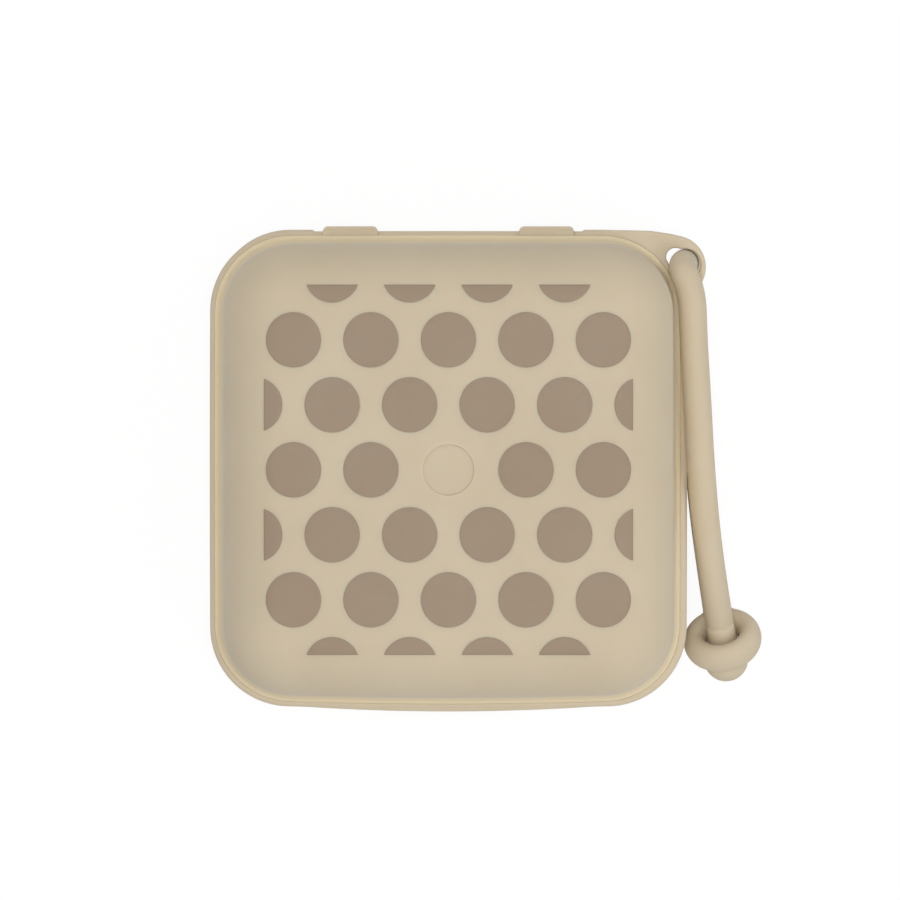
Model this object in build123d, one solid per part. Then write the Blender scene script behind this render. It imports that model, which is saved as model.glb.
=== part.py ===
from build123d import *
import math
import os

# Pocket case for pacifiers, moulded in soft silicone, lying on its back.
# Millimetres. The origin is the middle of the flat back, +Z points out through
# the lid, +Y towards the hinge straps, and +X towards the carrying strap.

# Whole case
depth = 45.0
parting_z = depth / 2  # top of the base lip, and the height of the hinge line
wall = 2.2
edge_round = 12.5
draft = 2.0  # degrees

# Plan of the lid's edge: four slightly bowed sides with round corners
lid_half = 43.6
lid_top = 43.7
lid_front = 44.05
lid_front_bow = 1.0
side_bow = 0.15
lid_corner = 14.2

# Plan of the lip round the base, which shows beyond the lid
rim_half = 45.0
rim_front = 44.95
rim_front_bow = 0.7
rim_corner = 15.0
rim_height = 4.2
rim_pad_start = 25.4  # the lip stands a little prouder past the hinge straps
rim_pad_rise = 0.3
rim_pad_radius = 14.1  # its outer corner, which runs out on the lip's own corner
rim_pad_turn = 50.0  # degrees
rim_pad_root = 5.0
rim_pad_depth = 1.0
rim_top_chamfer = 0.25
rim_foot_chamfer = 0.7

# How lid and base close
nest = 1.3  # the lid's edge sits this far down inside the lip
nest_gap = 0.15
seal_gap = 0.5
seal_wall = 0.9
seal_rise = 1.7
seal_root = 4.0
seal_chamfer = 0.3
rib_blunt = 0.15
snap_rise = 0.2
snap_width = 0.6
snap_height = 0.8  # middle of the snap bead above the parting plane
snap_clear = 0.15
lid_lip = 0.3  # small bead along the lid's lower edge
lid_lip_soft = 0.24
lid_lip_width = 0.7
lid_lip_clear = 0.2

# Thumb lip at the front of the base
thumb_front = 45.6
thumb_bow = 2.5
thumb_half = 24.0
thumb_height = 3.0
thumb_drop = 0.3

# Living hinge straps: the fold line is the axis of the lid's hinge
hinge_y = 46.1
hinge_half_spacing = 18.5
hinge_width = 10.0
hinge_thickness = 0.8
hinge_split = 0.05
hinge_drop = 4.0
hinge_bulge = 0.25
hinge_crest = 1.15
hinge_arch = 1.0
hinge_fall = 0.1
hinge_soft = 1.1
hinge_root = 1.5  # how far its foot reaches in before the lid and the lip are cut from it

# Eyelet for the strap, beside the hinge; its hole is oval, across the corner
eyelet_hole = (44.7, 38.75)
eyelet_hole_long = 3.75
eyelet_hole_short = 2.9
eyelet_hole_turn = 127.0  # degrees
eyelet_cap = (42.2, 37.85)
eyelet_cap_radius = 6.6
eyelet_thickness = 3.0
eyelet_drop = 0.1  # its top lies this far below the lip
eyelet_soft = 0.5
eyelet_shoulder = (37.0, 38.5)
eyelet_shoulder_radius = 6.5
eyelet_back_root = (27.5, 44.2)
eyelet_side_root = (44.0, 30.0)
eyelet_root_radius = 0.8

# Printed dots and the plain round recess in their middle
dot_radius = 5.18
dot_pitch_x = 14.5
dot_pitch_y = 12.16
print_half_x = 34.55
print_half_y = 34.65
print_thickness = 0.12
print_reach = 3.1  # how far down the rounded edge the print's prisms are cut from
recess_radius = 4.9
recess_depth = 0.35

# Carrying strap: one cord, folded through the eyelet, with a ring at the end of
# its back strand and a knob at the end of its front strand, buttoned through it
cord_diameter = 5.3
ring_radius = 5.0
ring_width = 2.25  # half of its section across the ring
ring_height = 2.6  # half of its section along the ring's axis
knob_radius = 4.15
knob_shoulder = 2.4  # where the ball turns into its neck
knob_waist = (2.85, 3.4)
knob_neck = (2.7, 4.4)
cord_route = [
    (51.25, -28.9, 3.3),  # root on the ring
    (49.7, -17.5, 3.1),
    (48.5, -3.5, 3.1),
    (47.9, 11.5, 5.2),
    (47.65, 26.3, 10.2),
    (44.75, 38.8, 14.8),  # under the eyelet
    (45.0, 38.75, 27.0),  # over the eyelet
    (47.8, 26.2, 26.7),
    (47.4, 13.0, 25.9),
    (47.7, 1.0, 24.5),
    (48.8, -11.5, 20.2),
    (50.6, -25.2, 13.2),
    (52.6, -35.6, 4.2),  # middle of the knob
]
ring_place = 0.657  # how far the ring lies along the last run of the cord

EPSILON = 1.0  # how far a cutting tool runs past what it cuts


def bow_radius(half, bow):
    """Radius of a side that stands bow further out in its middle than at its ends."""
    return (half**2 + bow**2) / (2 * bow)


def plan(half, top, front, front_bow, radius, grow=0.0):
    """A rounded square seen from above, with bowed sides, moved outwards by grow."""
    side = bow_radius(half, side_bow)
    low = bow_radius(half, front_bow)
    right = Pos(half - side, 0) * Circle(side + grow)
    left = Pos(side - half, 0) * Circle(side + grow)
    back = Pos(0, top - side) * Circle(side + grow)
    front_side = Pos(0, low - front) * Circle(low + grow)
    face = right & left & back & front_side
    return fillet(face.vertices(), radius + grow)


def lid_plan(grow=0.0):
    """The lid's edge, moved outwards by grow."""
    return plan(lid_half, lid_top, lid_front, lid_front_bow, lid_corner, grow)


def rim_plan():
    """The outside of the lip, with its two prouder stretches beside the hinge."""
    face = plan(rim_half, rim_half, rim_front, rim_front_bow, rim_corner)
    bend = rim_half - rim_corner
    high = rim_half + rim_pad_rise
    centre = (bend, high - rim_pad_radius)
    low = (rim_pad_start, high - rim_pad_depth)
    with BuildSketch() as pad:
        with BuildLine():
            Line((rim_pad_start, high), (bend, high))
            arc = CenterArc(centre, rim_pad_radius, 90, -rim_pad_turn)
            Polyline(arc @ 1, (bend, high - rim_pad_root), low, (rim_pad_start, high))
        make_face()
    right = pad.sketch
    left = mirror(right, about=Plane.YZ)
    return face + right + left


def slab(face, low, high):
    """A plan face made solid between two heights."""
    return Pos(0, 0, low) * extrude(face, high - low)


def pillow(grow, low, straight_to, high, round_radius):
    """Walls that rise straight, then with draft, into a well rounded top edge."""
    foot = slab(lid_plan(grow), low, straight_to)
    upper = Pos(0, 0, straight_to) * extrude(lid_plan(grow), high - straight_to, taper=draft)
    top = upper.faces().sort_by(Axis.Z)[-1]
    return foot + fillet(top.edges(), round_radius)


def lid_form(extra=0.0):
    """Outside of the lid above the parting plane, grown by extra."""
    upper = Pos(0, 0, parting_z) * extrude(lid_plan(extra), depth - parting_z + extra, taper=draft)
    top = upper.faces().sort_by(Axis.Z)[-1]
    return fillet(top.edges(), edge_round + extra)


def lid_outside():
    """Outside of the lid with the small bead along its lower edge."""
    low = parting_z + lid_lip_clear
    bead = slab(lid_plan(lid_lip), low, low + lid_lip_width)
    return lid_form() + fillet(bead.edges().filter_by(Plane.XY), lid_lip_soft)


def lid_shell():
    """The lid's hollow shell, with the snap groove inside and the recess on its face."""
    inside = pillow(-wall, parting_z - EPSILON, parting_z, depth - wall, edge_round - wall)
    groove = snap_band(-wall + snap_rise, snap_width + 2 * snap_clear)
    recess = slab(Circle(recess_radius), depth - recess_depth, depth + EPSILON)
    return lid_outside() - inside - groove - recess


def snap_band(grow, width):
    """A flat band at the height of the snap bead."""
    middle = parting_z + snap_height
    return slab(lid_plan(grow), middle - width / 2, middle + width / 2)


def lid_edge():
    """The straight edge of the lid that nests inside the lip."""
    low = parting_z - nest
    return slab(lid_plan(), low, parting_z) - slab(lid_plan(-wall), low, parting_z)


def base_shell():
    """The base's hollow shell, a mirror of the lid, with a flat seat for the lid's edge."""
    seat = parting_z - nest - nest_gap
    rib_foot = seat - seal_root
    outside = pillow(nest_gap, -seat, -rib_foot, 0, edge_round)
    inside = pillow(-wall, -seat - EPSILON, -rib_foot, -wall, edge_round - wall)
    return mirror(outside - inside, about=Plane.XY)


def base_rim():
    """The lip that stands up round the lid's edge."""
    low = parting_z - rim_height
    outer = slab(rim_plan(), low, parting_z)
    outer = chamfer(outer.faces().sort_by(Axis.Z)[-1].edges(), rim_top_chamfer)
    outer = chamfer(outer.faces().sort_by(Axis.Z)[0].edges(), rim_foot_chamfer)
    inner = slab(lid_plan(nest_gap), low - EPSILON, parting_z + EPSILON)
    return outer - inner - strap_passage()


def strap_passage():
    """The hole that the strap is threaded through, as a solid."""
    tall = rim_height + 2 * EPSILON
    hole = Rot(0, 0, eyelet_hole_turn) * Ellipse(eyelet_hole_long, eyelet_hole_short)
    return Pos(*eyelet_hole, parting_z - rim_height - EPSILON) * extrude(hole, tall)


def base_seal_rib():
    """Thin wall inside the lid's edge that keeps dirt out, with its snap bead."""
    seat = parting_z - nest - nest_gap
    root = slab(lid_plan(-wall), seat - seal_root, seat)
    upstand = slab(lid_plan(-wall - seal_gap), seat, parting_z + seal_rise)
    upstand = chamfer(upstand.faces().sort_by(Axis.Z)[-1].edges(), seal_chamfer)
    bead = snap_band(-wall - seal_gap + snap_rise, snap_width)
    bore = slab(lid_plan(-wall - seal_gap - seal_wall), seat - seal_root - EPSILON, depth)
    return root + upstand + bead - bore - rib_undercut(seat - seal_root)


def rib_undercut(low):
    """Sloping cut that thins the rib's root into the wall below it."""
    reach = seal_gap + seal_wall
    return Pos(0, 0, low) * extrude(lid_plan(-wall - rib_blunt), reach, taper=45)


def thumb_lip():
    """Shallow swelling of the lip's front, where a thumb lifts the lid."""
    high = parting_z - thumb_drop
    swelling = plan(rim_half, rim_half, thumb_front, thumb_bow, rim_corner)
    window = Pos(0, -rim_half) * Rectangle(2 * thumb_half, rim_half)
    behind = plan(rim_half, rim_half, rim_front, rim_front_bow, rim_corner)
    return slab(swelling & window, high - thumb_height, high) - slab(behind, 0, depth)


def carry_eyelet():
    """Flat ear beside the hinge, with an oval hole for the strap."""
    high = parting_z - eyelet_drop
    spots = [
        Pos(*eyelet_cap) * Circle(eyelet_cap_radius),
        Pos(*eyelet_shoulder) * Circle(eyelet_shoulder_radius),
        Pos(*eyelet_back_root) * Circle(eyelet_root_radius),
        Pos(*eyelet_side_root) * Circle(eyelet_root_radius),
    ]
    outline = make_hull((Sketch() + spots).edges())
    plate = slab(outline, high - eyelet_thickness, high)
    plate = fillet(plate.edges().filter_by(Plane.XY), eyelet_soft)
    return plate - slab(rim_plan(), 0, depth) - strap_passage()


def hinge_strip(profile, side):
    """A profile in the YZ plane drawn out to one hinge strap's width, with round corners."""
    middle = side * hinge_half_spacing
    strip = Pos(middle - hinge_width / 2, 0, 0) * extrude(Plane.YZ * profile, hinge_width)
    tab = Pos(middle, hinge_y - hinge_width / 2) * RectangleRounded(hinge_width, hinge_width, hinge_soft)
    return strip & slab(tab, 0, depth)


def hinge_base_leaf(side):
    """Lower half of a strap: a pad on the lip that swells out to the fold line."""
    top = parting_z - hinge_split
    low = parting_z - hinge_drop
    root = rim_half - hinge_root
    waist = (hinge_y - hinge_bulge, (top + low) / 2 + hinge_bulge)
    with BuildSketch() as profile:
        with BuildLine():
            Line((root, top), (hinge_y, top))
            ThreePointArc((hinge_y, top), waist, (rim_half, low))
            Polyline((rim_half, low), (root, low), (root, top))
        make_face()
    behind = plan(rim_half, rim_half, rim_front, rim_front_bow, rim_corner)
    return hinge_strip(profile.sketch, side) - slab(behind, 0, depth)


def hinge_lid_leaf(side):
    """Upper half of a strap: a thin arch from the lid's wall to the fold line."""
    low = parting_z + hinge_split
    crest = parting_z + hinge_crest
    bend = hinge_y - hinge_arch
    root = lid_top - hinge_root
    inner = hinge_y - hinge_thickness
    with BuildSketch() as profile:
        with BuildLine():
            Line((inner, low), (hinge_y, low))
            outer_arc = TangentArc((hinge_y, low), (bend, crest), tangent=(0, 1))
            foot = (root, crest - hinge_fall)
            Polyline(outer_arc @ 1, foot, (root, foot[1] - hinge_thickness), (bend, crest - hinge_thickness))
            TangentArc((inner, low), (bend, crest - hinge_thickness), tangent=(0, 1))
        make_face()
    return hinge_strip(profile.sketch, side) - lid_outside()


def dot_places():
    """Staggered rows of dots; the middle place holds the recess instead."""
    places = []
    for row in range(-3, 4):
        y = row * dot_pitch_y
        if row % 2 == 0:
            columns = [-2, -1, 0, 1, 2]
        elif abs(row) == 3:
            columns = [-1.5, -0.5, 0.5, 1.5]
        else:
            columns = [-2.5, -1.5, -0.5, 0.5, 1.5, 2.5]
        for column in columns:
            if row == 0 and column == 0:
                continue
            places.append((column * dot_pitch_x, y))
    return places


def face_print_dots():
    """The printed dots, as thin patches that follow the lid's surface."""
    window = Rectangle(2 * print_half_x, 2 * print_half_y)
    dots = Sketch() + [Pos(x, y) * Circle(dot_radius) for x, y in dot_places()]
    prisms = slab(dots & window, depth - print_reach, depth + EPSILON)
    skin = lid_form(print_thickness) - lid_form()
    return prisms & skin


def cord_path():
    """The strap's route as straight runs joined by tangent arcs, with its radii."""
    points = [Vector(*p) for p in cord_route]
    radii = []
    for before, here, after in zip(points, points[1:], points[2:]):
        turn = (here - before).get_angle(after - here)
        run = min((here - before).length, (after - here).length)
        radii.append(0.45 * run / math.tan(math.radians(turn) / 2))
    return FilletPolyline(*points, radius=radii), radii


def strap_cord():
    path, radii = cord_path()
    print("cord bend radii, mm:", [round(r, 1) for r in radii])
    section = Plane(origin=path @ 0, z_dir=path % 0) * Circle(cord_diameter / 2)
    tube = sweep(section, path=path)
    expected = math.pi * (cord_diameter / 2) ** 2 * path.length
    print("cord length, mm:", round(path.length, 1))
    print("cord volume over section times length:", round(tube.volume / expected, 4))
    return tube


def last_run():
    """Start and end of the cord's last run, which the ring sits round."""
    return Vector(*cord_route[-2]), Vector(*cord_route[-1])


def strap_ring():
    """A plump ring: an oval section turned round the run of cord that it holds."""
    start, end = last_run()
    centre = start + (end - start) * ring_place
    section = Plane.XZ * Pos(ring_radius, 0) * Ellipse(ring_width, ring_height)
    return Plane(origin=centre, z_dir=start - end) * revolve(section, Axis.Z)


def strap_knob():
    """A ball whose short neck fills the ring's hole round the cord."""
    start, end = last_run()
    shoulder = (math.sqrt(knob_radius**2 - knob_shoulder**2), knob_shoulder)
    with BuildSketch(Plane.XZ) as profile:
        with BuildLine():
            foot = (0, -knob_radius)
            ThreePointArc(foot, (knob_radius, 0), shoulder)
            Polyline(shoulder, knob_waist, knob_neck, (0, knob_neck[1]), foot)
        make_face()
    return Plane(origin=end, z_dir=start - end) * revolve(profile.sketch, Axis.Z)


def build():
    """Every sub-part by the name of its node."""
    nodes = {
        "base_shell": base_shell(),
        "base_rim": base_rim(),
        "base_seal_rib": base_seal_rib(),
        "thumb_lip": thumb_lip(),
        "carry_eyelet": carry_eyelet(),
        "lid_shell": lid_shell(),
        "lid_edge": lid_edge(),
        "face_print_dots": face_print_dots(),
        "strap_cord": strap_cord(),
        "strap_ring": strap_ring(),
        "strap_knob": strap_knob(),
    }
    for name, side in (("left", -1), ("right", 1)):
        nodes["hinge_base_leaf_" + name] = hinge_base_leaf(side)
        nodes["hinge_lid_leaf_" + name] = hinge_lid_leaf(side)
    return nodes


os.makedirs("parts", exist_ok=True)
for node, solid in build().items():
    export_step(solid, "parts/" + node + ".step")
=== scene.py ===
import math

import bmesh
import bpy
import numpy as np
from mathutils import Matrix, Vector
from mathutils.geometry import delaunay_2d_cdt


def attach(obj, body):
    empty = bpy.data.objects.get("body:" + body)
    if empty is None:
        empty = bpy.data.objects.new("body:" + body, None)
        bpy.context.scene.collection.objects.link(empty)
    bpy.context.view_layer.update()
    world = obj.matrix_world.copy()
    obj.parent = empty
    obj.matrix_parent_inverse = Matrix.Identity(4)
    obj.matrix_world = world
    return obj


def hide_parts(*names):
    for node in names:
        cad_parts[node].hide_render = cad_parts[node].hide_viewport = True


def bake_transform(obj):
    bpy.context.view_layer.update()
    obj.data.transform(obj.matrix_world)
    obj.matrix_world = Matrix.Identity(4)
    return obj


# Pocket case for pacifiers, moulded in soft silicone, with its carrying strap.
# Shapes are worked out in millimetres in the part's own frame: the origin is the
# middle of the flat back, +Z points out through the lid and +Y to the hinge.

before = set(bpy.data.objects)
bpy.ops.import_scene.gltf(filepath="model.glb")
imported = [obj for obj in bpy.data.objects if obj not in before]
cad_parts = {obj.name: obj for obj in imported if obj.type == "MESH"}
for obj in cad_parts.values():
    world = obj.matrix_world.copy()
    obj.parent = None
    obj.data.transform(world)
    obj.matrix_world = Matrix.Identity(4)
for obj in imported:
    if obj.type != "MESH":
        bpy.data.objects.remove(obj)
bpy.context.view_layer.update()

MM = 0.001

# Whole case. The lid's wall stands further in and rounds over tighter than in the part.
DEPTH = 45.0
PARTING = DEPTH / 2
WALL = 2.2
EDGE_ROUND = 12.5
DRAFT = math.tan(math.radians(2.0))
SIDE_BOW = 0.15
LID_ROUND = 11.5
LID_WALL_SET = 0.95  # how far the lid's wall stands in from its edge
FLARE_HIGH = 5.2  # where the wall begins to flare out to the lid's edge

# How lid and base close, as in the part
NEST = 1.3
NEST_GAP = 0.15
SEAT = PARTING - NEST - NEST_GAP
SEAL_GAP = 0.5
SEAL_WALL = 0.9
SEAL_RISE = 1.7
SEAL_ROOT = 4.0
SNAP_RISE = 0.2
SNAP_WIDTH = 0.6
SNAP_HEIGHT = 0.8
SNAP_CLEAR = 0.15

# Soft bead along the lid's lower edge, a little prouder towards the top left
BEAD_RISE = 0.25
BEAD_LEAN = 0.2
BEAD_LEAST = 0.03
BEAD_LOW = 0.12

# Lip round the base
RIM_HEIGHT = 4.2
RIM_ROUND = 0.8
RIM_INNER_ROUND = 0.12
RIM_CLOSE = 0.05  # how close the lip's upper edge comes to the lid
RIM_DROP = 0.45  # how far the lip lies below the parting plane, except beside the ear
EAR_MIDDLE = (40.0, 40.0)
RIM_FOOT_ROUND = 0.6
PAD_START = 25.4
PAD_STEP = 0.5
PAD_RISE = 0.3
PAD_RADIUS = 14.1
THUMB_FRONT = 45.6
THUMB_BOW = 2.5
THUMB_DROP = 0.1
THUMB_FADE = 0.7

# Hinge straps
HINGE_BACK = 45.88
HINGE_HALF_SPACING = 18.5
HINGE_WIDTH = 10.4
HINGE_CORNER = 1.0
HINGE_EDGE = 0.3

# Eyelet. Its hole is round for the cord, and drawn out towards the hinge.
EYELET_HOLE = (44.63, 38.68)
EYELET_HOLE_RADIUS = 2.96
EYELET_SLACK = (42.8, 40.07)
EYELET_SLACK_RADIUS = 1.75
EYELET_CAP = (42.6, 38.2)
EYELET_CAP_RADIUS = 5.95
EYELET_CREST = (40.6, 38.35)
EYELET_CREST_RADIUS = 6.25
EYELET_SHOULDER = (37.5, 38.5)
EYELET_SHOULDER_RADIUS = 6.55
EYELET_BACK_ROOT = (29.5, 44.42)
EYELET_SIDE_ROOT = (44.0, 30.0)
EYELET_ROOT_RADIUS = 0.8
EYELET_THICKNESS = 3.0
EYELET_SOFT = 0.5
EYELET_HOLE_SOFT = 0.35
EYELET_PROUD = 0.02
EAR_CLEAR = NEST_GAP + 0.1  # how far the ear stays from the lid

# Printed dots and the plain round recess in their middle
DOT_RADIUS = 5.18
DOT_PITCH_X = 14.5
DOT_PITCH_Y = 12.16
PRINT_HALF_X = 34.55
PRINT_HALF_Y = 34.65
PRINT_PROUD = 0.03
PRINT_DEPTH = 0.15
RECESS_RADIUS = 4.9
RECESS_DEPTH = 0.35

# Carrying strap. The route of its cord, in metres, keeps a little closer to the lid than in the part.
CORD_DIAMETER = 0.0053
CORD_ROUTE = [
    (0.0513, -0.0289, 0.00344),
    (0.04955, -0.0175, 0.0031),
    (0.0478, -0.0035, 0.0030),
    (0.0469, 0.0115, 0.0042),
    (0.04615, 0.0263, 0.0065),
    (0.0453, 0.0326, 0.0075),
    (0.0455, 0.0394, 0.0125),
    (0.04365, 0.0385, 0.0279),
    (0.0459, 0.0332, 0.0280),
    (0.0461, 0.0250, 0.0276),
    (0.04685, 0.0130, 0.0269),
    (0.0475, 0.0010, 0.0252),
    (0.0486, -0.0115, 0.0210),
    (0.0506, -0.0252, 0.0132),
    (0.05265, -0.0360, 0.0042),
]
RING_RADIUS = 5.3
RING_ACROSS = 2.1
RING_ALONG = 2.85
RING_FROM_KNOB = 4.95
KNOB_RADIUS = 4.18

# Photograph: a square picture taken square on to the lid from far away
PHOTO_PIXELS = 900
MM_PER_PIXEL = 0.1885
PHOTO_CENTRE = (0.30, 3.71)
CAMERA_DISTANCE = 3.0
SENSOR = 36.0

# Mesh steps
SIDE_STEPS = 32
CORNER_STEPS = 24
ROUND_STEPS = 26
HOLE_STEPS = 96
DOT_STEPS = 96
RING_STEPS = 120
RING_SECTION_STEPS = 56
KNOB_STEPS = 72

# Colours, linear: where the faint cloud is lightest and where it is darkest
RUBBER_LIGHT = (0.625, 0.535, 0.395)
RUBBER_DARK = (0.595, 0.505, 0.368)
INK_LIGHT = (0.368, 0.275, 0.195)
INK_DARK = (0.348, 0.256, 0.178)

# Painted light: the lid's colour turns paler towards its lower edge, lightening the shade at the foot of its
# wall, chosen to suit the light
PAINTED_EDGE_LIGHT = (0.75, 0.63, 0.43)
PAINTED_LIGHT_FULL = (PARTING + 2.0) * MM
PAINTED_LIGHT_END = (PARTING + 6.5) * MM

# How much light soaks in, and the share of it below the parting, both chosen
RUBBER_SOAK = 0.7
INK_SOAK = 0.3
BASE_SOAK_SHARE = 0.1
SOAK_LOW = (PARTING - 0.4) * MM
SOAK_HIGH = (PARTING + 0.8) * MM
SOAK_REACH = (1.0, 0.85, 0.7)
SOAK_SCALE = 0.002

# Surface
ROUGHNESS = 0.65
SHEEN = 0.02
RUBBER_GRAIN = 0.25
INK_GRAIN = 0.2
FINE_GRAIN_HEIGHT = 0.00003
SOFT_GRAIN_HEIGHT = 0.00008

# Light
WORLD_LIGHT = 0.43
FLOOR_GLOW = 1.02
FLOOR_GLOW_SHARE = 0.91
FLOOR_SIZE = 4.0
FLOOR_DROP = 0.0001


def add_camera():
    """Looks straight down on the lid through a very long lens."""
    data = bpy.data.cameras.new("camera")
    data.sensor_width = SENSOR
    data.lens = SENSOR * CAMERA_DISTANCE / (PHOTO_PIXELS * MM_PER_PIXEL * MM)
    data.clip_start = 0.1
    data.clip_end = 20.0
    camera = bpy.data.objects.new("camera", data)
    camera.location = (PHOTO_CENTRE[0] * MM, PHOTO_CENTRE[1] * MM, PARTING * MM + CAMERA_DISTANCE)
    bpy.context.scene.collection.objects.link(camera)
    bpy.context.scene.camera = camera


def link(name, data):
    """A new object in the scene."""
    obj = bpy.data.objects.new(name, data)
    bpy.context.scene.collection.objects.link(obj)
    return obj


def mesh_object(name, points, faces, sharp_degrees=None):
    """A mesh from points in millimetres, smooth except at edges sharper than given."""
    mesh = bpy.data.meshes.new(name)
    mesh.from_pydata([tuple(MM * float(v) for v in p) for p in points], [], faces)
    work = bmesh.new()
    work.from_mesh(mesh)
    bmesh.ops.remove_doubles(work, verts=work.verts, dist=1e-6)
    bmesh.ops.recalc_face_normals(work, faces=work.faces)
    work.to_mesh(mesh)
    work.free()
    mesh.shade_smooth()
    if sharp_degrees is not None:
        mesh.set_sharp_from_angle(angle=math.radians(sharp_degrees))
    return link(name, mesh)


def bow_radius(half, bow):
    return (half**2 + bow**2) / (2 * bow)


def circles_meet(first, first_radius, second, second_radius, near):
    """Where two circles cross, nearest to a point."""
    a, b = np.array(first, float), np.array(second, float)
    gap = np.linalg.norm(b - a)
    along = (first_radius**2 - second_radius**2 + gap**2) / (2 * gap)
    across = math.sqrt(first_radius**2 - along**2)
    unit = (b - a) / gap
    middle = a + along * unit
    side = np.array([-unit[1], unit[0]]) * across
    return min((middle + side, middle - side), key=lambda p: np.linalg.norm(p - np.array(near)))


class Plan:
    """A rounded square seen from above: points round its outline, with the outward direction at each."""

    def __init__(self, half, top, front, front_bow, radius):
        side = bow_radius(half, SIDE_BOW)
        low = bow_radius(half, front_bow)
        self.sides = [
            (np.array([half - side, 0.0]), side),
            (np.array([0.0, top - side]), side),
            (np.array([side - half, 0.0]), side),
            (np.array([0.0, low - front]), low),
        ]
        self.radius = radius
        reach = half - radius
        guesses = [(reach, reach), (-reach, reach), (-reach, -reach), (reach, -reach)]
        self.corners = []
        for i, guess in enumerate(guesses):
            (a, ra), (b, rb) = self.sides[i], self.sides[(i + 1) % 4]
            self.corners.append(circles_meet(a, ra - radius, b, rb - radius, guess))
        points, normals = [], []
        for i in range(4):
            centre, big = self.sides[i]
            start = self.angle(self.corners[i - 1] - centre, i)
            end = self.angle(self.corners[i] - centre, i)
            for t in side_shares():
                self.put(points, normals, centre, big, start + (end - start) * t)
            after = self.angle(self.corners[i] - self.sides[(i + 1) % 4][0], i + 1)
            for k in range(CORNER_STEPS):
                self.put(points, normals, self.corners[i], radius, end + (after - end) * k / CORNER_STEPS)
        self.points, self.normals = np.array(points), np.array(normals)

    @staticmethod
    def angle(direction, quarter):
        """Angle of a direction, near the given number of quarter turns."""
        angle = math.atan2(direction[1], direction[0])
        base = quarter * math.pi / 2
        return angle + 2 * math.pi * round((base - angle) / (2 * math.pi))

    @staticmethod
    def put(points, normals, centre, radius, angle):
        normal = np.array([math.cos(angle), math.sin(angle)])
        points.append(centre + radius * normal)
        normals.append(normal)

    def ring(self, grow, z):
        """The outline moved outwards by grow, one number or one for each point, at a height."""
        flat = self.points + self.normals * np.broadcast_to(grow, len(self.points))[:, None]
        return np.column_stack([flat, np.full(len(flat), float(z))])

    def inset(self, x, y):
        """How far inside the outline a point lies."""
        p = np.array([x, y])
        for i, corner in enumerate(self.corners):
            before = self.corners[i] - self.sides[i][0]
            after = self.corners[i] - self.sides[(i + 1) % 4][0]
            offset = p - corner
            if offset @ np.array([-after[1], after[0]]) < 0 < offset @ np.array([-before[1], before[0]]):
                return self.radius - np.linalg.norm(offset)
        return min(big - np.linalg.norm(p - centre) for centre, big in self.sides)


def side_shares():
    """Places along a side, closer together where the lip's prouder stretches begin."""
    pad = PAD_START / 30.0
    near = [pad + k * 0.006 for k in range(-4, 5)]
    even = [-1 + 2 * k / SIDE_STEPS for k in range(SIDE_STEPS)]
    clear = [u for u in even if abs(abs(u) - pad) > 0.03]
    return [(u + 1) / 2 for u in sorted(clear + near + [-u for u in near])]


LID = Plan(43.6, 43.7, 44.05, 1.0, 14.2)
RIM = Plan(45.0, 45.0, 44.95, 0.7, 15.0)


def centre_ring(radius, z):
    """A circle round the middle of the face, with as many points as the plans."""
    angles = np.arctan2(LID.points[:, 1], LID.points[:, 0])
    return np.column_stack([radius * np.cos(angles), radius * np.sin(angles), np.full(len(angles), float(z))])


def loft(rings, closed=False, caps=()):
    """Points and faces of a skin over rings; caps are heights to fill the first and last with."""
    count = len(rings[0])
    points = [p for ring in rings for p in ring]
    faces = []
    last = len(rings) if closed else len(rings) - 1
    for r in range(last):
        low, high = r * count, ((r + 1) % len(rings)) * count
        for k in range(count):
            n = (k + 1) % count
            faces.append((low + k, low + n, high + n, high + k))
    for which, centre in caps:
        start = 0 if which == 0 else (len(rings) - 1) * count
        points.append(centre)
        hub = len(points) - 1
        for k in range(count):
            faces.append((start + k, start + (k + 1) % count, hub))
    return points, faces


def rounded_wall(start, low, top, radius):
    """The run (grow, z) of a drafted wall that starts at low and rounds into a flat top."""
    lean = math.atan(DRAFT)
    centre_z = top - radius
    centre = start - (centre_z - low) * DRAFT - radius / math.cos(lean)
    run = []
    for k in range(ROUND_STEPS + 1):
        angle = lean + (math.pi / 2 - lean) * k / ROUND_STEPS
        run.append((centre + radius * math.cos(angle), centre_z + radius * math.sin(angle)))
    return run


def arc_run(centre, radius, start, end, steps):
    """Points (grow, z) along an arc; angles in degrees."""
    run = []
    for k in range(steps + 1):
        angle = math.radians(start + (end - start) * k / steps)
        run.append((centre[0] + radius * math.cos(angle), centre[1] + radius * math.sin(angle)))
    return run


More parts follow.
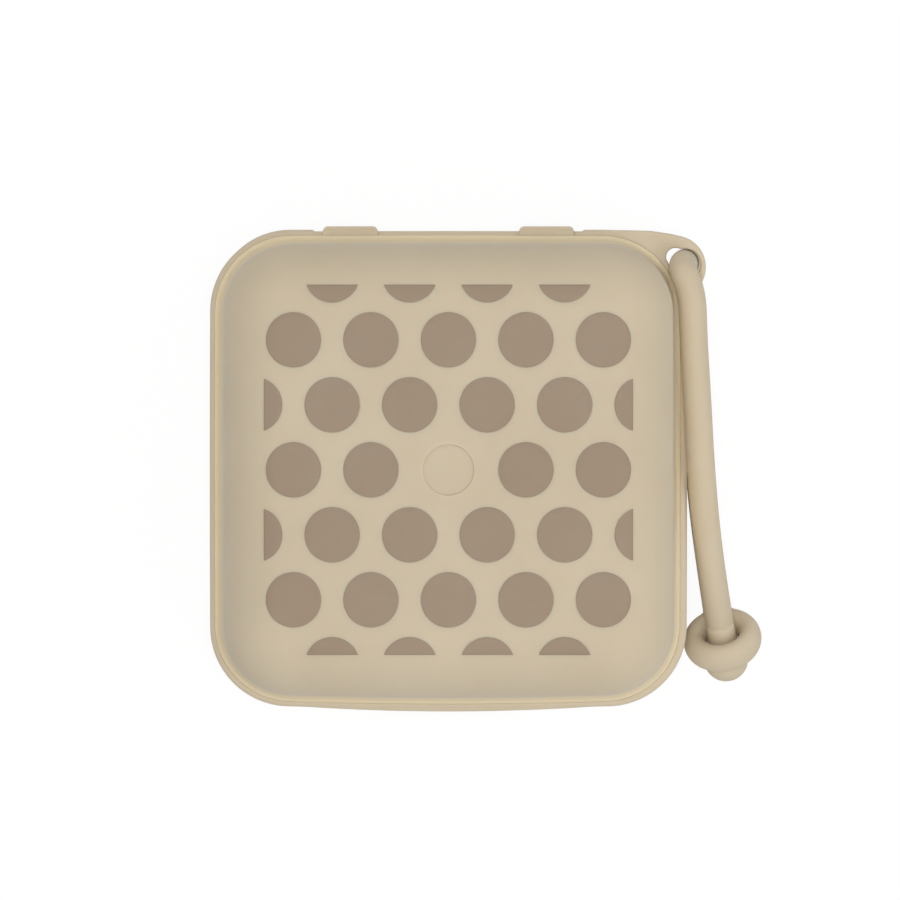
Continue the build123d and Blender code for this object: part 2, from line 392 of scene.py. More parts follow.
def lid_shell():
    """The lid: face with its recess, rounded sides, soft bead, nested edge, and the hollow inside."""
    outer = rounded_wall(-LID_WALL_SET, PARTING, DEPTH, LID_ROUND)
    floor = DEPTH - RECESS_DEPTH
    soft = 0.12
    rings = [centre_ring(r, floor) for r in (2.0, 3.6, RECESS_RADIUS - 2.2 * soft)]
    for x, z in arc_run((RECESS_RADIUS - 2 * soft, floor + soft), soft, -90, 0, 4)[1:]:
        rings.append(centre_ring(x, z))
    for x, z in arc_run((RECESS_RADIUS, DEPTH - soft), soft, 180, 90, 4):
        rings.append(centre_ring(x, z))
    rings.append(centre_ring(RECESS_RADIUS + 3 * soft, DEPTH))
    flat = outer[-1][0]
    inner_flat = LID.ring(flat - 0.5, DEPTH)
    hub = rings[-1]
    for share in (0.3, 0.6, 0.85):
        rings.append(hub + (inner_flat - hub) * share)
    rings.append(inner_flat)
    rings += [LID.ring(g, z) for g, z in reversed(outer)]
    rings += [LID.ring(g, z) for g, z in lid_bead()]
    low = PARTING - NEST
    rings += [LID.ring(g, z) for g, z in [(0.0, low + 0.7), (0.0, low + 0.2)]]
    rings += [LID.ring(g, z) for g, z in arc_run((-0.2, low + 0.2), 0.2, 0, -90, 4)[1:]]
    rings += [LID.ring(g, z) for g, z in arc_run((0.2 - WALL, low + 0.2), 0.2, -90, -180, 4)]
    rings += [LID.ring(g, z) for g, z in snap_groove()]
    inner = rounded_wall(-WALL, PARTING, DEPTH - WALL, EDGE_ROUND - WALL)
    rings += [LID.ring(g, z) for g, z in inner]
    under = DEPTH - WALL
    flat_under = LID.ring(inner[-1][0] - 0.5, under)
    hub = centre_ring(5.0, under)
    rings += [flat_under, hub + (flat_under - hub) * 0.5, hub]
    points, faces = loft(rings, caps=[(0, (0, 0, floor)), (1, (0, 0, under))])
    return mesh_object("lid_moulding", points, faces, 50)


def lid_bead():
    """The foot of the lid's wall: it flares out softly to the bead along the edge."""
    wall = -LID_WALL_SET - FLARE_HIGH * DRAFT
    rise = np.clip(BEAD_RISE + BEAD_LEAN * (LID.normals[:, 1] - LID.normals[:, 0]), BEAD_LEAST, None)
    flare = smooth_run([
        (0.0, FLARE_HIGH), (0.035, 4.2), (0.09, 3.3), (0.18, 2.5), (0.3, 1.9), (0.45, 1.5), (0.62, 1.24),
        (0.8, 1.08), (0.93, 0.94), (0.995, 0.7), (1.0, 0.5), (0.97, 0.3), (0.88, BEAD_LOW)], 2)
    run = [(wall + (rise - wall) * share, PARTING + height) for share, height in flare]
    run.append((-0.02, PARTING + BEAD_LOW - 0.04))
    return run


def snap_groove():
    """The wall inside the lid from its edge up past the groove for the snap bead."""
    middle = PARTING + SNAP_HEIGHT
    half = SNAP_WIDTH / 2 + SNAP_CLEAR
    deep = -WALL + SNAP_RISE
    return [
        (-WALL, PARTING - 0.4),
        (-WALL, middle - half - 0.05),
        (-WALL + 0.05, middle - half),
        (deep - 0.05, middle - half + 0.03),
        (deep, middle - half + 0.1),
        (deep, middle + half - 0.1),
        (deep - 0.05, middle + half - 0.03),
        (-WALL + 0.03, middle + half),
        (-WALL - 0.05, middle + half + 0.06),
    ]


def base_shell():
    """The base: a mirror of the lid, with a flat seat for the lid's edge."""
    rib_foot = SEAT - SEAL_ROOT
    outer = [(g, -z) for g, z in rounded_wall(NEST_GAP, -rib_foot, 0.0, EDGE_ROUND)]
    inner = [(g, -z) for g, z in rounded_wall(-WALL, -rib_foot, -WALL, EDGE_ROUND - WALL)]
    flat = LID.ring(outer[-1][0] - 0.5, 0.0)
    hub = centre_ring(5.0, 0.0)
    rings = [hub, hub + (flat - hub) * 0.5, flat]
    rings += [LID.ring(g, z) for g, z in reversed(outer)]
    seat_run = [(NEST_GAP, rib_foot), (NEST_GAP, SEAT - 0.1), (NEST_GAP - 0.1, SEAT)]
    seat_run += [(-WALL + 0.1, SEAT), (-WALL, SEAT - 0.1), (-WALL, rib_foot)]
    rings += [LID.ring(g, z) for g, z in seat_run]
    rings += [LID.ring(g, z) for g, z in inner]
    flat = LID.ring(inner[-1][0] - 0.5, WALL)
    hub = centre_ring(5.0, WALL)
    rings += [flat, hub + (flat - hub) * 0.5, hub]
    points, faces = loft(rings, caps=[(0, (0, 0, 0)), (1, (0, 0, WALL))])
    return mesh_object("base_moulding", points, faces, 50)


def pad_growth():
    """How much prouder the lip stands beside the hinge, at each point of its outline."""
    growth = np.zeros(len(RIM.points))
    corner = RIM.corners[0]
    drop = RIM.radius + PAD_RISE - PAD_RADIUS
    for i, (p, normal) in enumerate(zip(RIM.points, RIM.normals)):
        if p[1] < 30:
            continue
        angle = math.atan2(normal[1], abs(normal[0]))
        if abs(p[0]) > corner[0]:
            reach = drop * math.sin(angle) + math.sqrt(PAD_RADIUS**2 - (drop * math.cos(angle)) ** 2)
            growth[i] = max(0.0, reach - RIM.radius)
        else:
            share = np.clip((abs(p[0]) - PAD_START) / PAD_STEP + 0.5, 0, 1)
            growth[i] = PAD_RISE * share * share * (3 - 2 * share)
    return growth


def thumb_growth():
    """How far the thumb swelling stands out of the lip's front, at each point."""
    growth = np.zeros(len(RIM.points))
    swell = bow_radius(45.0, THUMB_BOW)
    for i, p in enumerate(RIM.points):
        if p[1] < -44 and abs(p[0]) < 29:
            reach = THUMB_FRONT - swell + math.sqrt(swell**2 - p[0] ** 2)
            growth[i] = max(0.0, reach + p[1])
    return growth


def passage_growth():
    """How far the lip's outline gives way to the hole for the strap; large where it doesn't."""
    growth = np.full(len(RIM.points), 9.0)
    for middle, radius in ((EYELET_HOLE, EYELET_HOLE_RADIUS), (EYELET_SLACK, EYELET_SLACK_RADIUS)):
        for i, (p, normal) in enumerate(zip(RIM.points, RIM.normals)):
            place = p - np.array(middle)
            inside = radius**2 - place @ place
            if inside > 0:
                along = place @ normal
                growth[i] = min(growth[i], -(along + math.sqrt(along**2 + inside)))
    return growth


def base_rim():
    """The lip with its rounded outer edge, its prouder stretches and the thumb swelling."""
    pads, thumb, passage = pad_growth(), thumb_growth(), passage_growth()
    steady = np.minimum(pads, passage)
    edge = RIM.points + RIM.normals * steady[:, None]
    room = np.array([-LID.inset(*p) for p in edge]) - NEST_GAP - RIM_INNER_ROUND - 0.03
    steady = steady + np.clip(-room, 0, None)
    slim = np.clip(room / RIM_ROUND, 0, 1)

    def outline(inset, z):
        share = np.clip((PARTING - THUMB_DROP - z) / THUMB_FADE, 0, 1)
        share = share * share * (3 - 2 * share)
        flat = RIM.points + RIM.normals * (steady + thumb * share - inset * slim)[:, None]
        return np.column_stack([flat, np.full(len(flat), float(z))])

    foot = PARTING - RIM_HEIGHT
    wall = LID.ring(NEST_GAP - 0.05, 0.0)
    rings = []
    for x, z in arc_run((0, 0), 1, -180, -90, 5)[::-1]:
        share = 1 + x
        ring = outline(RIM_FOOT_ROUND, foot)
        ring = ring + (wall - ring) * (1 - share)
        ring[:, 2] = foot - RIM_FOOT_ROUND * (1 + z)
        rings.append(ring)
    rings = rings[::-1]
    rings += [outline(RIM_FOOT_ROUND - x, foot + RIM_FOOT_ROUND + z)
              for x, z in arc_run((0, 0), RIM_FOOT_ROUND, -75, 0, 5)]
    rings += [outline(0, foot + t * (RIM_HEIGHT - RIM_ROUND)) for t in (0.3, 0.5, 0.7, 0.85)]
    rings += [outline(RIM_ROUND - x, PARTING - RIM_ROUND + z)
              for x, z in arc_run((0, 0), RIM_ROUND, 0, 90, 10)]
    soft = RIM_INNER_ROUND
    rings += [LID.ring(RIM_CLOSE + soft + x, PARTING - soft + z)
              for x, z in arc_run((0, 0), soft, 90, 180, 5)]
    rings += [LID.ring(RIM_CLOSE, PARTING - 0.6), LID.ring(NEST_GAP, PARTING - 0.8)]
    rings += [LID.ring(NEST_GAP, SEAT - 0.1), LID.ring(-1.0, SEAT - 0.2), LID.ring(-1.0, foot - 0.3)]
    away = np.linalg.norm(RIM.points - np.array(EAR_MIDDLE), axis=1)
    fade = np.clip((away - 10.0) / 6.0, 0, 1)
    for ring in rings[:-2]:
        high = np.clip((ring[:, 2] - PARTING + 2.0) / 1.2, 0, 1)
        ring[:, 2] -= RIM_DROP * fade * fade * (3 - 2 * fade) * high
    points, faces = loft(rings, closed=True)
    return mesh_object("base_lip", points, faces, 50)


def base_seal_rib():
    """Thin wall inside the lid's edge, with its snap bead and sloping foot."""
    outer = -WALL - SEAL_GAP
    inner = outer - SEAL_WALL
    top = PARTING + SEAL_RISE
    middle = PARTING + SNAP_HEIGHT
    foot = SEAT - SEAL_ROOT
    half = SNAP_WIDTH / 2
    run = [(0.2 - WALL, foot), (0.2 - WALL, SEAT - 0.2), (0.1 - WALL, SEAT - 0.01)]
    run += [(outer + 0.12, SEAT - 0.01), (outer + 0.03, SEAT + 0.03), (outer, SEAT + 0.12)]
    run.append((outer, middle - half - 0.15))
    for k in range(9):
        angle = math.pi * k / 8
        run.append((outer + SNAP_RISE * math.sin(angle), middle - half * math.cos(angle)))
    run += arc_run((outer - 0.3, top - 0.3), 0.3, 0, 90, 5)
    run += arc_run((inner + 0.3, top - 0.3), 0.3, 90, 180, 5)
    run += [(inner, foot + 1.6), (inner + 0.08, foot + 1.35), (-WALL - 0.25, foot + 0.1), (-WALL, foot)]
    points, faces = loft([LID.ring(g, z) for g, z in run], closed=True)
    return mesh_object("seal_wall", points, faces, 50)


def hull(points):
    """Convex outline of flat points, anticlockwise."""
    def turn(o, a, b):
        return (a[0] - o[0]) * (b[1] - o[1]) - (a[1] - o[1]) * (b[0] - o[0])

    ordered = sorted(set(points))
    chains = []
    for run in (ordered, ordered[::-1]):
        chain = []
        for p in run:
            while len(chain) > 1 and turn(chain[-2], chain[-1], p) <= 1e-9:
                chain.pop()
            chain.append(p)
        chains.append(chain[:-1])
    return chains[0] + chains[1]


def even_outline(points, step):
    """A closed outline with its points set evenly."""
    loop = np.array(points + [points[0]])
    lengths = np.linalg.norm(np.diff(loop, axis=0), axis=1)
    along = np.concatenate([[0], np.cumsum(lengths)])
    count = round(along[-1] / step)
    places = np.arange(count) * along[-1] / count
    return np.column_stack([np.interp(places, along, loop[:, i]) for i in range(2)])


def outward(loop):
    """Outward directions of an anticlockwise outline."""
    ahead = np.roll(loop, -1, axis=0) - np.roll(loop, 1, axis=0)
    normal = np.column_stack([ahead[:, 1], -ahead[:, 0]])
    return normal / np.linalg.norm(normal, axis=1)[:, None]


def eyelet_outline():
    """Hull of the circles that shape the ear."""
    spots = [
        (EYELET_CAP, EYELET_CAP_RADIUS),
        (EYELET_CREST, EYELET_CREST_RADIUS),
        (EYELET_SHOULDER, EYELET_SHOULDER_RADIUS),
        (EYELET_BACK_ROOT, EYELET_ROOT_RADIUS),
        (EYELET_SIDE_ROOT, EYELET_ROOT_RADIUS),
    ]
    samples = []
    for centre, radius in spots:
        for k in range(240):
            angle = 2 * math.pi * k / 240
            samples.append((centre[0] + radius * math.cos(angle), centre[1] + radius * math.sin(angle)))
    return even_outline(hull(samples), 0.35)


def holed_face(outer, hole):
    """Triangles of the flat face between an outline and a hole inside it."""
    joined = np.vstack([outer, hole])
    edges = []
    for start, count in ((0, len(outer)), (len(outer), len(hole))):
        edges += [(start + k, start + (k + 1) % count) for k in range(count)]
    vertices = [Vector((float(x), float(y))) for x, y in joined]
    found = delaunay_2d_cdt(vertices, edges, [], 1, 1e-6)
    faces = [tuple(found[3][v][0] for v in face) for face in found[2]]
    return [face for face in faces if min(face) < len(outer)]


def eyelet_hole():
    """Points round the hole, the directions out of it, and how soft its edge can be at each."""
    slack = np.array(EYELET_SLACK) - np.array(EYELET_HOLE)
    spare = slack @ slack - EYELET_SLACK_RADIUS**2
    loop = []
    for angle in np.arange(HOLE_STEPS) * 2 * math.pi / HOLE_STEPS:
        way = np.array([math.cos(angle), math.sin(angle)])
        along = way @ slack
        reach = EYELET_HOLE_RADIUS
        if along > 0 and along**2 > spare:
            far = along + math.sqrt(along**2 - spare)
            reach = (reach**14 + far**14) ** (1 / 14)
        loop.append(np.array(EYELET_HOLE) + way * reach)
    loop = np.array(loop)
    room = np.array([-LID.inset(*p) for p in loop]) - EAR_CLEAR - 0.02
    return loop, outward(loop), np.clip(room / EYELET_HOLE_SOFT, 0.03, 1)[:, None]


def carry_eyelet():
    """Flat ear with soft edges and the hole that the strap is threaded through."""
    loop = ear_loop()
    free = np.clip([-RIM.inset(*p) / 0.8 for p in loop], 0, 1)[:, None]
    pull = outward(loop) * free
    hole, spokes, share = eyelet_hole()
    top = PARTING + EYELET_PROUD
    low = top - EYELET_THICKNESS
    soft = EYELET_SOFT
    points, faces = [], []

    def add_ring(flat, z):
        start = len(points)
        points.extend((x, y, z) for x, y in flat)
        return start

    def stitch(first, second, size):
        for k in range(size):
            n = (k + 1) % size
            faces.append((first + k, first + n, second + n, second + k))

    outer_rings = [add_ring(loop - pull * inset, z) for inset, z in plate_edge(soft, top, low)]
    hole_rings = [add_ring(hole + spokes * share * inset, z)
                  for inset, z in plate_edge(EYELET_HOLE_SOFT, top, low)]
    for a, b in zip(outer_rings, outer_rings[1:]):
        stitch(a, b, len(loop))
    for a, b in zip(hole_rings, hole_rings[1:]):
        stitch(a, b, len(hole))
    flat_outer = loop - pull * soft
    flat_hole = hole + spokes * share * EYELET_HOLE_SOFT
    for outer_start, hole_start in ((outer_rings[0], hole_rings[0]), (outer_rings[-1], hole_rings[-1])):
        for face in holed_face(flat_outer, flat_hole):
            faces.append(tuple(
                outer_start + v if v < len(loop) else hole_start + v - len(loop) for v in face))
    return mesh_object("strap_eyelet", points, faces, 40)


def plate_edge(soft, top, low):
    """Insets and heights down the rounded edge of a plate."""
    upper = [(soft - x, top - soft + z) for x, z in arc_run((0, 0), soft, 90, 0, 6)]
    return upper + [(0.0, (top + low) / 2)] + [(inset, top + low - z) for inset, z in reversed(upper)]


def ear_loop():
    """The ear's outline: its hull outside the lid, closed along the lip beside the lid."""
    loop = eyelet_outline()
    outside = np.array([LID.inset(*p) < -EAR_CLEAR - 0.02 for p in loop])
    first = next(i for i in range(len(loop)) if outside[i] and not outside[i - 1])
    loop, outside = np.roll(loop, -first, axis=0), np.roll(outside, -first)
    free = loop[: int(outside.sum())]
    ring = LID.points + LID.normals * EAR_CLEAR
    start = np.argmin(np.linalg.norm(ring - free[0], axis=1))
    end = np.argmin(np.linalg.norm(ring - free[-1], axis=1))
    back = ring[start + 1 : end][::-1]
    return even_outline([tuple(p) for p in np.vstack([free, back])], 0.3)


def smooth_run(knots, steps):
    """A soft curve through a few points (Catmull-Rom)."""
    ends = [2 * np.array(knots[0]) - np.array(knots[1])] + [np.array(k) for k in knots]
    ends.append(2 * np.array(knots[-1]) - np.array(knots[-2]))
    run = []
    for a, b, c, d in zip(ends, ends[1:], ends[2:], ends[3:]):
        for k in range(steps):
            t = k / steps
            run.append(0.5 * (2 * b + (c - a) * t + (2 * a - 5 * b + 4 * c - d) * t**2
                              + (3 * b - a - 3 * c + d) * t**3))
    run.append(ends[-2])
    return np.array(run)


def hinge_strap(side, name):
    """One living hinge strap: a pad on the lip that rises past the fold line and thins out to the lid."""
    back = RIM.points[:, 1].max()
    outer = smooth_run([
        (back - 0.15, PARTING - 4.35), (back + 0.25, PARTING - 3.5), (back + 0.55, PARTING - 2.3),
        (HINGE_BACK - 0.06, PARTING - 0.9), (HINGE_BACK, PARTING - 0.15),
        (HINGE_BACK - 0.08, PARTING + 0.14), (HINGE_BACK - 0.28, PARTING + 0.3),
        (HINGE_BACK - 0.55, PARTING + 0.25),
        (HINGE_BACK - 0.8, PARTING + 0.34), (HINGE_BACK - 1.1, PARTING + 0.35),
        (LID_BACK + 0.6, PARTING + 0.33), (LID_BACK - 0.1, PARTING + 0.33),
        (LID_BACK - 0.8, PARTING + 0.33)], 6)
    inner = smooth_run([
        (back - 0.5, PARTING - 4.0), (back - 0.45, PARTING - 3.2), (back - 0.3, PARTING - 2.2),
        (back + 0.03, PARTING - 1.1), (back + 0.05, PARTING - 0.8), (back, PARTING - 0.55),
        (back - 0.15, PARTING - 0.42), (back - 0.35, PARTING - 0.4), (back - 0.6, PARTING - 0.4),
        (back - 0.8, PARTING - 0.3), (LID_BACK + 0.25, PARTING), (LID_BACK - 0.1, PARTING + 0.03),
        (LID_BACK - 0.8, PARTING + 0.03)], 6)
    middle, half = (outer + inner) / 2, (outer - inner) / 2
    sections = []
    for x in strap_stations():
        beyond = max(0.0, abs(x) - (HINGE_WIDTH / 2 - HINGE_EDGE)) / HINGE_EDGE
        thick = math.sqrt(max(0.0, 1 - beyond**2))
        into = max(0.0, abs(x) - (HINGE_WIDTH / 2 - HINGE_CORNER))
        pull = HINGE_CORNER - math.sqrt(max(0.0, HINGE_CORNER**2 - into**2))
        loop = np.vstack([middle + half * thick, (middle - half * thick)[::-1]])
        out = np.clip(loop[:, 0] - (back - 0.2), 0, None)
        reach = HINGE_BACK - (back - 0.2)
        y = loop[:, 0] - out * min(1.0, pull / reach)
        sections.append(np.column_stack([np.full(len(loop), side * HINGE_HALF_SPACING + x), y, loop[:, 1]]))
    points, faces = loft(sections)
    return mesh_object(name, points, faces, 60)


def strap_stations():
    """Places across a strap's width, closer together at its rounded edges."""
    half = HINGE_WIDTH / 2
    edge = [half - HINGE_EDGE + HINGE_EDGE * math.sin(math.radians(a)) for a in range(0, 91, 15)]
    corner = [half - HINGE_CORNER + (HINGE_CORNER - HINGE_EDGE) * k / 6 for k in range(6)]
    right = [0.0, 1.3, 2.6] + corner + edge
    return [-x for x in reversed(right[1:])] + right


LID_BACK = float(LID.points[:, 1].max())


def face_height(x, y):
    """Height of the lid's outside over a point."""
    run = rounded_wall(-LID_WALL_SET, PARTING, DEPTH, LID_ROUND)
    inset = LID.inset(x, y)
    centre = run[-1][0]
    if -inset <= centre:
        return DEPTH
    rise = LID_ROUND**2 - (-inset - centre) ** 2
    return DEPTH - LID_ROUND + math.sqrt(max(0.0, rise))


def dot_places():
    places = []
    for row in range(-3, 4):
        if row % 2 == 0:
            columns = [-2, -1, 0, 1, 2]
        elif abs(row) == 3:
            columns = [-1.5, -0.5, 0.5, 1.5]
        else:
            columns = [-2.5, -1.5, -0.5, 0.5, 1.5, 2.5]
        places += [(c * DOT_PITCH_X, row * DOT_PITCH_Y) for c in columns if (row, c) != (0, 0)]
    return places


def dot_outline(place):
    """A dot's outline, cut off at the edge of the print."""
    loop = []
    for k in range(DOT_STEPS):
        angle = 2 * math.pi * k / DOT_STEPS
        loop.append((place[0] + DOT_RADIUS * math.cos(angle), place[1] + DOT_RADIUS * math.sin(angle)))
    for axis, limit in ((0, PRINT_HALF_X), (1, PRINT_HALF_Y)):
        for sign in (1, -1):
            loop = clip(loop, axis, sign, limit)
    return np.array(loop)


def clip(loop, axis, sign, limit):
    """The part of an outline on the inner side of a line."""
    kept = []
    for a, b in zip(loop, loop[1:] + loop[:1]):
        da, db = limit - sign * a[axis], limit - sign * b[axis]
        if da >= 0:
            kept.append(a)
        if (da >= 0) != (db >= 0):
            t = da / (da - db)
            kept.append((a[0] + (b[0] - a[0]) * t, a[1] + (b[1] - a[1]) * t))
    return kept


def face_print_dots():
    """The printed dots: thin patches that follow the lid's surface."""
    points, faces = [], []
    for place in dot_places():
        loop = dot_outline(place)
        if np.ptp(loop[:, 0]) < 1.9 * DOT_RADIUS or np.ptp(loop[:, 1]) < 1.9 * DOT_RADIUS:
            loop = even_outline([tuple(p) for p in loop], 0.3)
        centre = loop.mean(axis=0)
        count = len(loop)
        layers = [(0.25, PRINT_PROUD), (0.5, PRINT_PROUD), (0.75, PRINT_PROUD), (0.99, PRINT_PROUD)]
        layers += [(1.0, PRINT_PROUD * 0.5), (1.0, -PRINT_DEPTH), (0.5, -PRINT_DEPTH)]
        start = len(points)
        points.append((*centre, face_height(*centre) + PRINT_PROUD))
        for share, rise in layers:
            for p in loop:
                x, y = centre + (p - centre) * share
                points.append((x, y, face_height(x, y) + rise))
        points.append((*centre, face_height(*centre) - PRINT_DEPTH))
        end = len(points) - 1
        for k in range(count):
            n = (k + 1) % count
            faces.append((start, start + 1 + k, start + 1 + n))
            for layer in range(len(layers) - 1):
                low = start + 1 + layer * count
                faces.append((low + k, low + count + k, low + count + n, low + n))
            low = start + 1 + (len(layers) - 1) * count
            faces.append((low + k, end, low + n))
    return mesh_object("printed_dots", points, faces, 50)


def last_run():
    """Start and end of the cord's last run, which the ring sits round, in millimetres."""
    return np.array(CORD_ROUTE[-2]) / MM, np.array(CORD_ROUTE[-1]) / MM


def turned_frame(axis):
    """Two directions square to an axis and to each other."""
    axis = axis / np.linalg.norm(axis)
    first = np.cross(axis, (1.0, 0.0, 0.0))
    first = first / np.linalg.norm(first)
    return axis, first, np.cross(axis, first)


def strap_ring():
    """The plump ring round the last run, with a soft swelling where the back strand grows out of it."""
    start, end = last_run()
    axis, first, second = turned_frame(start - end)
    centre = end + axis * RING_FROM_KNOB
    root, ahead = np.array(CORD_ROUTE[0]) / MM, np.array(CORD_ROUTE[1]) / MM
    way = (ahead - root) / np.linalg.norm(ahead - root)
    rings = []
    for i in range(RING_STEPS):
        a = 2 * math.pi * i / RING_STEPS
        out = first * math.cos(a) + second * math.sin(a)
        ring = []
        for j in range(RING_SECTION_STEPS):
            b = 2 * math.pi * j / RING_SECTION_STEPS
            p = centre + out * (RING_RADIUS + RING_ACROSS * math.cos(b)) + axis * RING_ALONG * math.sin(b)
            ring.append(flare(p, root, way))
        rings.append(np.array(ring))
    points, faces = loft(rings, closed=True)
    return mesh_object("strap_end_ring", points, faces)


def flare(p, root, way):
    """Moves a point of the ring along the cord where the cord grows out of it."""
    offset = p - root
    along = offset @ way
    off_axis = np.linalg.norm(offset - along * way)
    reach = 1.3 * CORD_DIAMETER / MM / 2
    if along < -0.3 or off_axis > reach:
        return p
    share = 1 - off_axis / reach
    return p + way * 1.5 * share * share * (3 - 2 * share) * min(1.0, (along + 0.3) / 1.2)


def strap_knob():
    """The knob at the end of the front strand, with a soft neck."""
    before, end = last_run()
    axis, first, second = turned_frame(before - end)
    cord = CORD_DIAMETER / MM / 2
    run = [(math.sin(a) * KNOB_RADIUS, -math.cos(a) * KNOB_RADIUS) for a in np.linspace(0.02, 2.32, 40)]
    run += [(cord + 0.3, 3.2), (cord + 0.24, 4.4), (cord + 0.16, 5.6), (cord + 0.08, 6.8), (cord + 0.02, 8.0)]
    run.append((cord - 0.05, 9.4))
    rings = []
    for radius, height in run:
        angles = np.arange(KNOB_STEPS) * 2 * math.pi / KNOB_STEPS
        rings.append(end + axis * height
                     + np.outer(np.cos(angles), first) * radius + np.outer(np.sin(angles), second) * radius)
    points, faces = loft(rings, caps=[(0, end - axis * KNOB_RADIUS), (1, end + axis * run[-1][1])])
    return mesh_object("strap_end_knob", points, faces)


def strap_cord():
    """The strap's cord on one smooth curve from the ring to the knob."""
    data = bpy.data.curves.new("strap_line", "CURVE")
    data.dimensions = "3D"
    data.resolution_u = 24
    spline = data.splines.new("NURBS")
    spline.points.add(len(CORD_ROUTE) - 1)
    for point, place in zip(spline.points, CORD_ROUTE):
        point.co = (*place, 1.0)
    spline.order_u = 3
    spline.use_endpoint_u = True
    data.bevel_depth = CORD_DIAMETER / 2
    data.bevel_resolution = 12
    data.use_fill_caps = True
    return link("strap_line", data)


# Materials


def noise(tree, coordinates, scale, detail):
    node = tree.nodes.new("ShaderNodeTexNoise")
    node.inputs["Scale"].default_value = scale
    node.inputs["Detail"].default_value = detail
    tree.links.new(coordinates, node.inputs["Vector"])
    return node.outputs["Fac"]


def map_range(tree, value, low, high, to_low, to_high):
    node = tree.nodes.new("ShaderNodeMapRange")
    for name, number in (("From Min", low), ("From Max", high), ("To Min", to_low), ("To Max", to_high)):
        node.inputs[name].default_value = number
    tree.links.new(value, node.inputs["Value"])
    return node.outputs["Result"]


def mix_colours(tree, factor, first, second):
    node = tree.nodes.new("ShaderNodeMix")
    node.data_type = "RGBA"
    tree.links.new(factor, node.inputs["Factor"])
    for name, colour in (("A", first), ("B", second)):
        place = [s for s in node.inputs if s.name == name and s.type == "RGBA"][0]
        if isinstance(colour, tuple):
            place.default_value = (*colour, 1.0)
        else:
            tree.links.new(colour, place)
    return [s for s in node.outputs if s.type == "RGBA"][0]


def bump(tree, height, strength, distance, normal=None):
    node = tree.nodes.new("ShaderNodeBump")
    node.inputs["Strength"].default_value = strength
    node.inputs["Distance"].default_value = distance
    tree.links.new(height, node.inputs["Height"])
    if normal is not None:
        tree.links.new(normal, node.inputs["Normal"])
    return node.outputs["Normal"]


def soft_material(name, light, dark, grain, soak, painted_edge_light=None):
    """Matte moulded rubber: a faint uneven tone, a fine grain and light that soaks in a little.

    The paler colour towards the lid's lower edge is painted light that lightens the shade at the foot
    of its wall, and the lesser soaking below the parting only brings out the tones seen in this light.
    Neither says that the rubber differs from place to place."""
    material = bpy.data.materials.new(name)
    material.use_nodes = True
    tree = material.node_tree
    shader = tree.nodes["Principled BSDF"]
    coordinates = tree.nodes.new("ShaderNodeTexCoord").outputs["Object"]
    cloud = noise(tree, coordinates, 55, 4)
    tone = map_range(tree, cloud, 0.3, 0.7, 0.0, 1.0)
    split = tree.nodes.new("ShaderNodeSeparateXYZ")
    tree.links.new(coordinates, split.inputs[0])
    height = split.outputs["Z"]
    body = mix_colours(tree, tone, light, dark)
    # Painted light: paler colour down the lid's wall towards its lower edge, lightening its shade
    if painted_edge_light:
        near = map_range(tree, height, PAINTED_LIGHT_END, PAINTED_LIGHT_FULL, 0.0, 1.0)
        body = mix_colours(tree, near, body, painted_edge_light)
    tree.links.new(body, shader.inputs["Base Color"])
    patch = noise(tree, coordinates, 420, 3)
    rough = map_range(tree, patch, 0.3, 0.7, ROUGHNESS - 0.05, ROUGHNESS + 0.05)
    tree.links.new(rough, shader.inputs["Roughness"])
    fine = noise(tree, coordinates, 5200, 2)
    soft = noise(tree, coordinates, 900, 3)
    first = bump(tree, fine, grain, FINE_GRAIN_HEIGHT)
    tree.links.new(bump(tree, soft, grain, SOFT_GRAIN_HEIGHT, first), shader.inputs["Normal"])
    shader.inputs["Specular IOR Level"].default_value = 0.25
    shader.inputs["Sheen Weight"].default_value = SHEEN
    shader.inputs["Sheen Roughness"].default_value = 0.45
    soaked = map_range(tree, height, SOAK_LOW, SOAK_HIGH, BASE_SOAK_SHARE * soak, soak)
    tree.links.new(soaked, shader.inputs["Subsurface Weight"])
    shader.inputs["Subsurface Radius"].default_value = SOAK_REACH
    shader.inputs["Subsurface Scale"].default_value = SOAK_SCALE
    return material


SILICONE = soft_material("silicone", RUBBER_LIGHT, RUBBER_DARK, RUBBER_GRAIN, RUBBER_SOAK)
# The lid's rubber, with painted light towards its lower edge
LID_SILICONE_PAINTED_LIGHT = soft_material(
    "lid_silicone_painted_light", RUBBER_LIGHT, RUBBER_DARK, RUBBER_GRAIN, RUBBER_SOAK, PAINTED_EDGE_LIGHT)
PRINT = soft_material("print_ink", INK_LIGHT, INK_DARK, INK_GRAIN, INK_SOAK)


# Scene


def seen_directly(tree):
    """One for what the camera sees, also in gloss and through glass; nought for light on the case."""
    rays = tree.nodes.new("ShaderNodeLightPath")
    either = rays.outputs["Is Camera Ray"]
    for name in ("Is Glossy Ray", "Is Transmission Ray"):
        node = tree.nodes.new("ShaderNodeMath")
        node.operation = "MAXIMUM"
        tree.links.new(either, node.inputs[0])
        tree.links.new(rays.outputs[name], node.inputs[1])
        either = node.outputs[0]
    return either


def add_world():
    world = bpy.data.worlds.new("world")
    bpy.context.scene.world = world
    world.use_nodes = True
    tree = world.node_tree
    lit = tree.nodes["Background"]
    lit.inputs["Color"].default_value = (1.0, 1.0, 1.0, 1.0)
    lit.inputs["Strength"].default_value = WORLD_LIGHT
    white = tree.nodes.new("ShaderNodeBackground")
    white.inputs["Color"].default_value = (1.0, 1.0, 1.0, 1.0)
    white.inputs["Strength"].default_value = 1.0
    mix = tree.nodes.new("ShaderNodeMixShader")
    tree.links.new(seen_directly(tree), mix.inputs["Fac"])
    tree.links.new(lit.outputs[0], mix.inputs[1])
    tree.links.new(white.outputs[0], mix.inputs[2])
    tree.links.new(mix.outputs[0], tree.nodes["World Output"].inputs["Surface"])


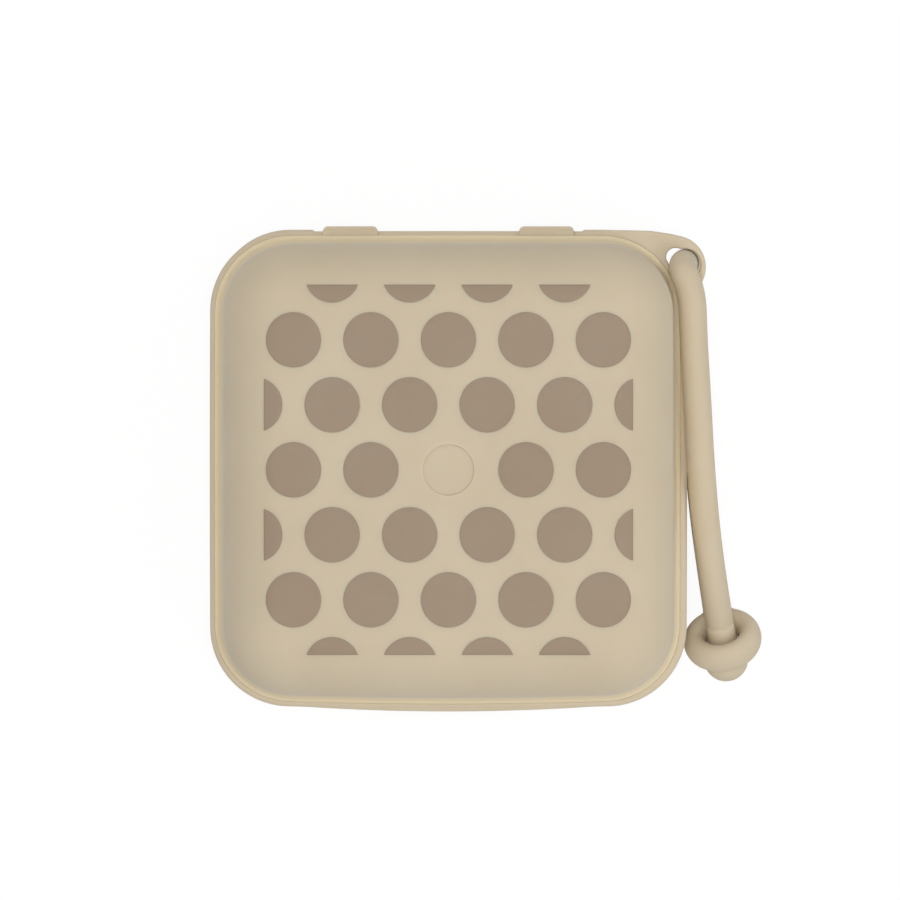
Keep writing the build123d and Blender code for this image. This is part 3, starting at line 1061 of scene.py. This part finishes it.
def add_floor():
    """A pale floor that reads as white and keeps a faint shadow."""
    mesh = bpy.data.meshes.new("floor")
    size = FLOOR_SIZE
    corners = [(-size, -size, 0), (size, -size, 0), (size, size, 0), (-size, size, 0)]
    mesh.from_pydata(corners, [], [(0, 1, 2, 3)])
    floor = link("floor", mesh)
    floor.location.z = -FLOOR_DROP
    material = bpy.data.materials.new("floor")
    material.use_nodes = True
    tree = material.node_tree
    plain = tree.nodes["Principled BSDF"]
    plain.inputs["Base Color"].default_value = (0.9, 0.9, 0.9, 1.0)
    plain.inputs["Roughness"].default_value = 1.0
    plain.inputs["Specular IOR Level"].default_value = 0.0
    glow = tree.nodes.new("ShaderNodeEmission")
    glow.inputs["Strength"].default_value = FLOOR_GLOW
    share = tree.nodes.new("ShaderNodeMath")
    share.operation = "MULTIPLY"
    share.inputs[1].default_value = FLOOR_GLOW_SHARE
    tree.links.new(seen_directly(tree), share.inputs[0])
    mix = tree.nodes.new("ShaderNodeMixShader")
    tree.links.new(share.outputs[0], mix.inputs["Fac"])
    tree.links.new(plain.outputs[0], mix.inputs[1])
    tree.links.new(glow.outputs[0], mix.inputs[2])
    tree.links.new(mix.outputs[0], tree.nodes["Material Output"].inputs["Surface"])
    mesh.materials.append(material)


def add_light(name, place, size, watts):
    """A square soft light aimed at the case."""
    data = bpy.data.lights.new(name, "AREA")
    data.size = size
    data.energy = watts
    light = link(name, data)
    light.location = place
    aim = Vector((0.0, 0.0, PARTING * MM)) - Vector(place)
    light.rotation_mode = "QUATERNION"
    light.rotation_quaternion = aim.to_track_quat("-Z", "Y")


def dress(obj, body, material, nodes):
    """Gives a piece its finish and its body, and hides the solids that it stands for."""
    obj.data.materials.clear()
    obj.data.materials.append(material)
    if body is not None:
        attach(obj, body)
    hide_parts(*nodes)
    return obj


add_camera()
cord = dress(strap_cord(), "strap", SILICONE, ["strap_cord"])
ring = dress(strap_ring(), "strap", SILICONE, ["strap_ring"])
knob = dress(strap_knob(), "strap", SILICONE, ["strap_knob"])
dress(base_shell(), "base", SILICONE, ["base_shell"])
dress(base_rim(), "base", SILICONE, ["base_rim", "thumb_lip"])
dress(base_seal_rib(), "base", SILICONE, ["base_seal_rib"])
dress(carry_eyelet(), "base", SILICONE, ["carry_eyelet"])
dress(lid_shell(), "lid", LID_SILICONE_PAINTED_LIGHT, ["lid_shell", "lid_edge"])
dress(face_print_dots(), "lid", PRINT, ["face_print_dots"])
for side, word in ((-1, "left"), (1, "right")):
    strap = hinge_strap(side, "hinge_strap_" + word)
    dress(strap, None, SILICONE, ["hinge_base_leaf_" + word, "hinge_lid_leaf_" + word])
    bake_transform(strap)

add_world()
add_floor()
add_light("top", (0.01, -0.01, 1.6), 0.3, 9.4)
add_light("key", (0.3, -0.22, 0.5), 0.25, 0.72)
add_light("fill", (-0.25, 0.5, 0.6), 0.4, 0.5)

scene = bpy.context.scene
scene.view_settings.view_transform = "Standard"
